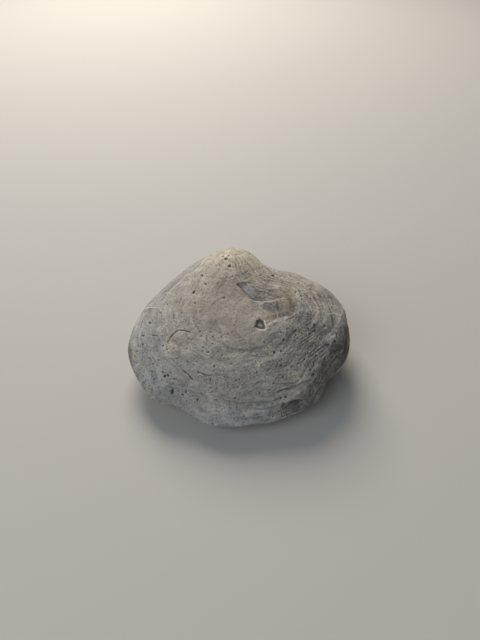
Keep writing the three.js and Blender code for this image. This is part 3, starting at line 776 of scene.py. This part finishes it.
def stone_colour(tree, place, colours, mottle):
    """Cloudy warm and cool greys by the age, worn and bare stone, and the patches of colour, whose
    edges the mottle breaks up. The warm grey at the beaks and the cool grey at the front are partly the
    stone's tone and partly painted light, the warm key from behind and the cool fill in front; the dark
    patches are partly painted shade, the bluish and pale ones partly painted light."""
    old = tree.plus(tree.mask("age"), tree.times(tree.noise(place, 60, 4, 0.55), 0.5))
    colour = tree.mix(tree.spread(old, 0.6, 1.25), (*colours.warm, 1), (*colours.cool, 1))
    colour = tree.mix(tree.times(tree.mask("worn"), 0.6), colour, (*colours.worn, 1))
    colour = tree.mix(tree.times(tree.mask("bare"), 0.35), colour, (*colours.bare, 1))
    for name, strength, least in (
            ("ochre", 0.8, 0.35), ("dark", 1.0, 0.55), ("bluish", 0.7, 0.35), ("pale", 0.75, 0.35)):
        rough_edge = tree.spread(mottle, 0.35, 0.6, least * strength, strength)
        colour = tree.mix(tree.times(tree.mask(name), rough_edge), colour, (*getattr(colours, name), 1))
    return colour


def stone_shade(tree, place, mottle, dust, lines):
    """Factor that makes the colour lighter and darker: along the growth lines, in mottles and dust,
    as painted shade in hollows and painted light on bumps, and as a sine wave across the fine scratches."""
    scratch = tree.math("SINE", tree.times(tree.mask("striae_way"), 2 * np.pi / SCRATCH_PITCH))
    broken = tree.spread(tree.noise(place, 500, 2, 0.5), 0.35, 0.6)
    return tree.plus(
        lines, 1.0,
        tree.spread(mottle, 0.3, 0.7, -0.22, 0.22), tree.spread(dust, 0.3, 0.7, -0.2, 0.2),
        tree.times(tree.mask("hollow_shade_and_ridge_light"), -0.3), tree.times(tree.mask("striae"), scratch, broken, 0.6))


def draw_lines(tree, place, colour, colours, mottle):
    """Colour with the crests and cracks drawn on, the crests partly a painted highlight: a stroke by
    the way to the line, with a wobble and gaps, and the pale rim of the pit with corners."""
    wobble = tree.spread(tree.noise(place, 900, 2, 0.6), 0.3, 0.7, -0.12, 0.12)
    gaps = tree.spread(mottle, 0.3, 0.5, 0.35, 1.0)
    for name, half_width, kind, strength in (("crest", 0.24, "crest", 0.75), ("crack", 0.15, "hole", 0.8)):
        way = tree.math("ABSOLUTE", tree.plus(tree.mask(name + "_way"), wobble))
        stroke = tree.spread(way, half_width * 0.4, half_width, strength, 0.0)
        colour = tree.mix(tree.times(tree.mask(name), stroke, gaps), colour, (*getattr(colours, kind), 1))
    return tree.mix(tree.times(tree.mask("rim"), 0.75), colour, (*colours.crest, 1))


def draw_specks(tree, place, colour, colours, dust):
    """Colour with dark specks and pale grains: ragged dots in the cells of a Voronoi pattern that
    a random number picks, each kind with its cells to a metre, radius, rarity and strength. The
    holes are darkened."""
    for scale, radius, rarity, strength, kind in (
            (950, 0.22, 0.45, 0.75, "hole"), (1700, 0.3, 0.6, 0.6, "hole"),
            (1300, 0.22, 0.8, 0.5, "crest")):
        dots = tree.add("ShaderNodeTexVoronoi", {"Vector": place, "Scale": float(scale)}).outputs
        ragged = tree.plus(dots["Distance"], tree.spread(dust, 0.3, 0.7, -0.08, 0.08))
        dot = tree.spread(ragged, radius * 0.5, radius, 1.0, 0.0)
        chance = tree.add("ShaderNodeSeparateColor", {"Color": dots["Color"]}).outputs["Red"]
        chosen = tree.spread(chance, rarity, rarity + 0.1, 0.0, strength)
        colour = tree.mix(tree.times(dot, chosen), colour, (*getattr(colours, kind), 1))
    return tree.mix(tree.times(tree.mask("holes"), 0.85), colour, (*colours.hole, 1))


def stone_material(colours):
    """Dry matt limestone: the stone's colour and shade, the lines and specks drawn on it, and a low
    bump of its mottle, dust and growth lines."""
    material = bpy.data.materials.new("limestone")
    material.use_nodes = True
    material.node_tree.nodes.clear()
    tree = NodeTree(material.node_tree)
    place = tree.add("ShaderNodeTexCoord").outputs["Object"]
    mottle = tree.noise(place, 380, 5, 0.7)
    dust = tree.noise(place, 2400, 3, 0.65)
    streaks, hairs = tree.drawn_out((1.9, 1.5, 1.5), 3, 0.6), tree.drawn_out((3.6, 3.2, 3.2), 2, 0.5)
    lined = tree.plus(tree.times(streaks, 0.5), tree.times(hairs, 0.5))
    force = tree.spread(tree.mask("force"), 0.1, 0.9, 0.12, 0.68)

    lines = tree.times(tree.spread(lined, 0.3, 0.7, -1.0, 1.0), force)
    shade = stone_shade(tree, place, mottle, dust, lines)
    grey = tree.add("ShaderNodeCombineColor", {"Red": shade, "Green": shade, "Blue": shade}).outputs[0]
    colour = tree.mix(1.0, stone_colour(tree, place, colours, mottle), grey, "MULTIPLY")
    colour = draw_lines(tree, place, colour, colours, mottle)
    colour = draw_specks(tree, place, colour, colours, dust)

    rough = tree.plus(tree.times(mottle, 0.6), tree.times(dust, 0.4), tree.times(lined, force))
    bump = tree.add("ShaderNodeBump", {"Height": rough, "Strength": 0.6, "Distance": 0.25 * MM})
    shader = tree.add("ShaderNodeBsdfPrincipled", {
        "Base Color": colour, "Normal": bump.outputs[0],
        "Roughness": tree.spread(mottle, 0.3, 0.7, 0.7, 0.95), "Specular IOR Level": 0.35})
    tree.add("ShaderNodeOutputMaterial", {"Surface": shader.outputs[0]})
    return material


def stage_floor(settings):
    """A round pale sheet that the stone lies on, curved up all round: a profile of distance and
    height, flat and then a quarter turn up to a wall, carried round a circle."""
    bend = np.linspace(0, np.pi / 2, 24)
    wall = FLOOR_FLAT + FLOOR_BEND
    distance = np.concatenate([[0, FLOOR_RING], FLOOR_FLAT + FLOOR_BEND * np.sin(bend), [wall]])
    height = np.concatenate([[0, 0], FLOOR_BEND - FLOOR_BEND * np.cos(bend), [WALL_HEIGHT]])
    j = np.arange(FLOOR_SIDES)
    after = (j + 1) % FLOOR_SIDES
    turn = j / FLOOR_SIDES * 2 * np.pi
    ring = np.stack([np.cos(turn), np.sin(turn), np.ones(FLOOR_SIDES)], -1)
    points = ring * np.stack([distance, distance, height], -1)[1:, None]
    points = np.append(np.zeros((1, 3)), points.reshape(-1, 3), axis=0)
    faces = [np.stack([0 * j, 1 + j, 1 + after], -1).tolist()]
    faces += [
        np.stack([k + j, k + FLOOR_SIDES + j, k + FLOOR_SIDES + after, k + after], -1).tolist()
        for k in range(1, 1 + FLOOR_SIDES * (len(distance) - 2), FLOOR_SIDES)]
    mesh = bpy.data.meshes.new("stage_floor")
    mesh.from_pydata(points, [], sum(faces, []), shade_flat=False)
    material = bpy.data.materials.new("pale_floor")
    material.use_nodes = True
    shader = material.node_tree.nodes["Principled BSDF"]
    shader.inputs["Base Color"].default_value = (*settings.floor_colour, 1)
    shader.inputs["Roughness"].default_value = 0.8
    mesh.materials.append(material)
    floor = bpy.data.objects.new("stage_floor", mesh)
    bpy.context.scene.collection.objects.link(floor)


def area_light(name, power, way, size, colour):
    """A round soft light that faces the stone from the way's azimuth, elevation and distance."""
    light = bpy.data.lights.new(name, "AREA")
    light.shape = "DISK"
    light.size = size
    light.energy = power
    light.color = colour
    lamp = bpy.data.objects.new(name, light)
    lamp.location = Vector(LIGHT_AIM) * MM + around(*way)
    lamp.rotation_euler = (-around(*way)).to_track_quat("-Z", "Y").to_euler()
    bpy.context.scene.collection.objects.link(lamp)


def around(azimuth, elevation, distance):
    """Way to a place around the stone from its middle, azimuth 0 being behind it and 90 to its
    right."""
    a, e = np.radians(azimuth), np.radians(elevation)
    return Vector((np.sin(a) * np.cos(e), np.cos(a) * np.cos(e), np.sin(e))) * distance


def height_setting(name, description, height):
    """A height or depth of the relief, given in millimetres, for the panel."""
    return FloatProperty(
        name=name, description=description, default=height * MM, min=0, max=1 * MM, unit="LENGTH",
        precision=5)


def colour_setting(name, description, colour):
    """A colour for the panel."""
    return FloatVectorProperty(
        name=name, description=description, default=colour, min=0, max=1, subtype="COLOR")


class FossilClamRelief(bpy.types.PropertyGroup):
    ridge_height: height_setting("Growth ridges", "Height of the growth ridges near the edge", 0.16)
    line_height: height_setting("Growth lines", "Height of the fine lines between the ridges", 0.075)
    flake_height: height_setting("Flakes", "Thickness of the thin flakes of shell", 0.12)
    swell_height: height_setting("Swells", "Height of the low swells of the surface", 0.3)
    grain_height: height_setting("Grain", "Height of the rough grain of the stone", 0.085)
    pore_depth: height_setting("Pores", "Depth of the small round pores", 0.22)


class FossilClamColours(bpy.types.PropertyGroup):
    # Warm and cool: partly the stone's own greys and partly painted light, warmer on the top where the key
    # light falls from behind and cooler on the front where the fill falls
    warm: colour_setting("Warm grey", "Stone at the beaks", (0.435, 0.388, 0.32))
    cool: colour_setting("Cool grey", "Stone at the front edge", (0.318, 0.315, 0.307))
    worn: colour_setting("Worn", "Smooth worn patch", (0.315, 0.288, 0.257))
    bare: colour_setting("Bare", "Stone laid bare under a ledge", (0.22, 0.215, 0.205))
    ochre: colour_setting("Ochre", "Brown stain", (0.235, 0.186, 0.128))
    # Dark: the stone's dark patches, and painted shade on the right flank, the rims and the lower right
    dark: colour_setting("Dark", "Dark patches", (0.095, 0.093, 0.102))
    # Bluish: a bluish tone of the stone, and painted fill light on the front rim
    bluish: colour_setting("Bluish", "Bluish patches", (0.45, 0.462, 0.485))
    # Pale: paler stone, and painted highlight on the front rim and the far left edge
    pale: colour_setting("Pale", "Pale patches", (0.55, 0.5, 0.42))
    # Crest: pale broken edges of layers, partly a painted highlight where they face the key light
    crest: colour_setting("Crest", "Broken edge of a layer", (0.68, 0.65, 0.58))
    # Hole: the dark colour drawn into pits, cracks, pores and specks
    hole: colour_setting("Hole", "Dirt in pits and cracks", (0.05, 0.045, 0.04))


class FossilClamStage(bpy.types.PropertyGroup):
    floor_colour: colour_setting("Floor", "Colour of the floor", (0.52, 0.51, 0.49))
    key_power: FloatProperty(
        name="Key light", description="Power of the warm light behind the stone", default=6.2, min=0,
        unit="POWER")
    fill_power: FloatProperty(
        name="Fill light", description="Power of the cool light in front", default=3.5, min=0, unit="POWER")
    camera_distance: FloatProperty(
        name="Camera distance", description="From the camera to the stone", default=155.8 * MM, min=0.05,
        unit="LENGTH")
    camera_elevation: FloatProperty(
        name="Camera elevation", description="Height of the camera over the floor as an angle",
        default=np.radians(45), unit="ROTATION")


class FOSSILCLAM_OT_stone(bpy.types.Operator):
    """Build the stone with its relief and limestone, in place of the plain solid"""

    bl_idname = "fossil_clam.stone"
    bl_label = "Build the stone"

    def execute(self, context):
        scene = context.scene
        mesh = stone_mesh(scene.fossil_clam_relief)
        mesh.materials.append(stone_material(scene.fossil_clam_colours))
        stone = bpy.data.objects.new(PIECE, mesh)
        scene.collection.objects.link(stone)
        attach(stone, "root")
        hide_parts(NODE)
        return {"FINISHED"}


class FOSSILCLAM_OT_stage(bpy.types.Operator):
    """Set up the floor, the lights and the camera"""

    bl_idname = "fossil_clam.stage"
    bl_label = "Set up the stage"

    def execute(self, context):
        scene = context.scene
        settings = scene.fossil_clam_stage
        stage_floor(settings)
        area_light("key", settings.key_power, *KEY_LIGHT)
        area_light("fill", settings.fill_power, *FILL_LIGHT)
        world = bpy.data.worlds.new("studio")
        world.use_nodes = True
        for name, value in SKY.items():
            world.node_tree.nodes["Background"].inputs[name].default_value = value
        scene.world = world
        scene.view_settings.view_transform = "Standard"

        camera = bpy.data.cameras.new("camera")
        camera.lens = LENS
        camera.sensor_width = SENSOR_WIDTH
        camera.clip_start = 0.005
        viewer = bpy.data.objects.new("camera", camera)
        elevation = np.degrees(settings.camera_elevation)
        viewer.location = Vector(CAMERA_AIM) * MM + around(180, elevation, settings.camera_distance)
        viewer.rotation_euler = (np.pi / 2 - settings.camera_elevation, 0, 0)
        scene.collection.objects.link(viewer)
        scene.camera = viewer
        return {"FINISHED"}


class FOSSILCLAM_PT_panel(bpy.types.Panel):
    bl_idname = "FOSSILCLAM_PT_panel"
    bl_label = "Fossil clam"
    bl_space_type = "VIEW_3D"
    bl_region_type = "UI"
    bl_category = "Fossil clam"

    def draw(self, context):
        for group, operator in (
                ("fossil_clam_relief", None), ("fossil_clam_colours", "fossil_clam.stone"),
                ("fossil_clam_stage", "fossil_clam.stage")):
            settings = getattr(context.scene, group)
            for name in settings.__annotations__:
                self.layout.prop(settings, name)
            if operator:
                self.layout.operator(operator)


SETTINGS = {
    "fossil_clam_relief": FossilClamRelief,
    "fossil_clam_colours": FossilClamColours,
    "fossil_clam_stage": FossilClamStage,
}
CLASSES = (*SETTINGS.values(), FOSSILCLAM_OT_stone, FOSSILCLAM_OT_stage, FOSSILCLAM_PT_panel)


def register():
    for cls in CLASSES:
        bpy.utils.register_class(cls)
    for name, cls in SETTINGS.items():
        setattr(bpy.types.Scene, name, PointerProperty(type=cls))


def unregister():
    for name in SETTINGS:
        delattr(bpy.types.Scene, name)
    for cls in reversed(CLASSES):
        bpy.utils.unregister_class(cls)


def main():
    register()
    bpy.ops.fossil_clam.stone()
    bpy.ops.fossil_clam.stage()


if __name__ == "__main__":
    main()
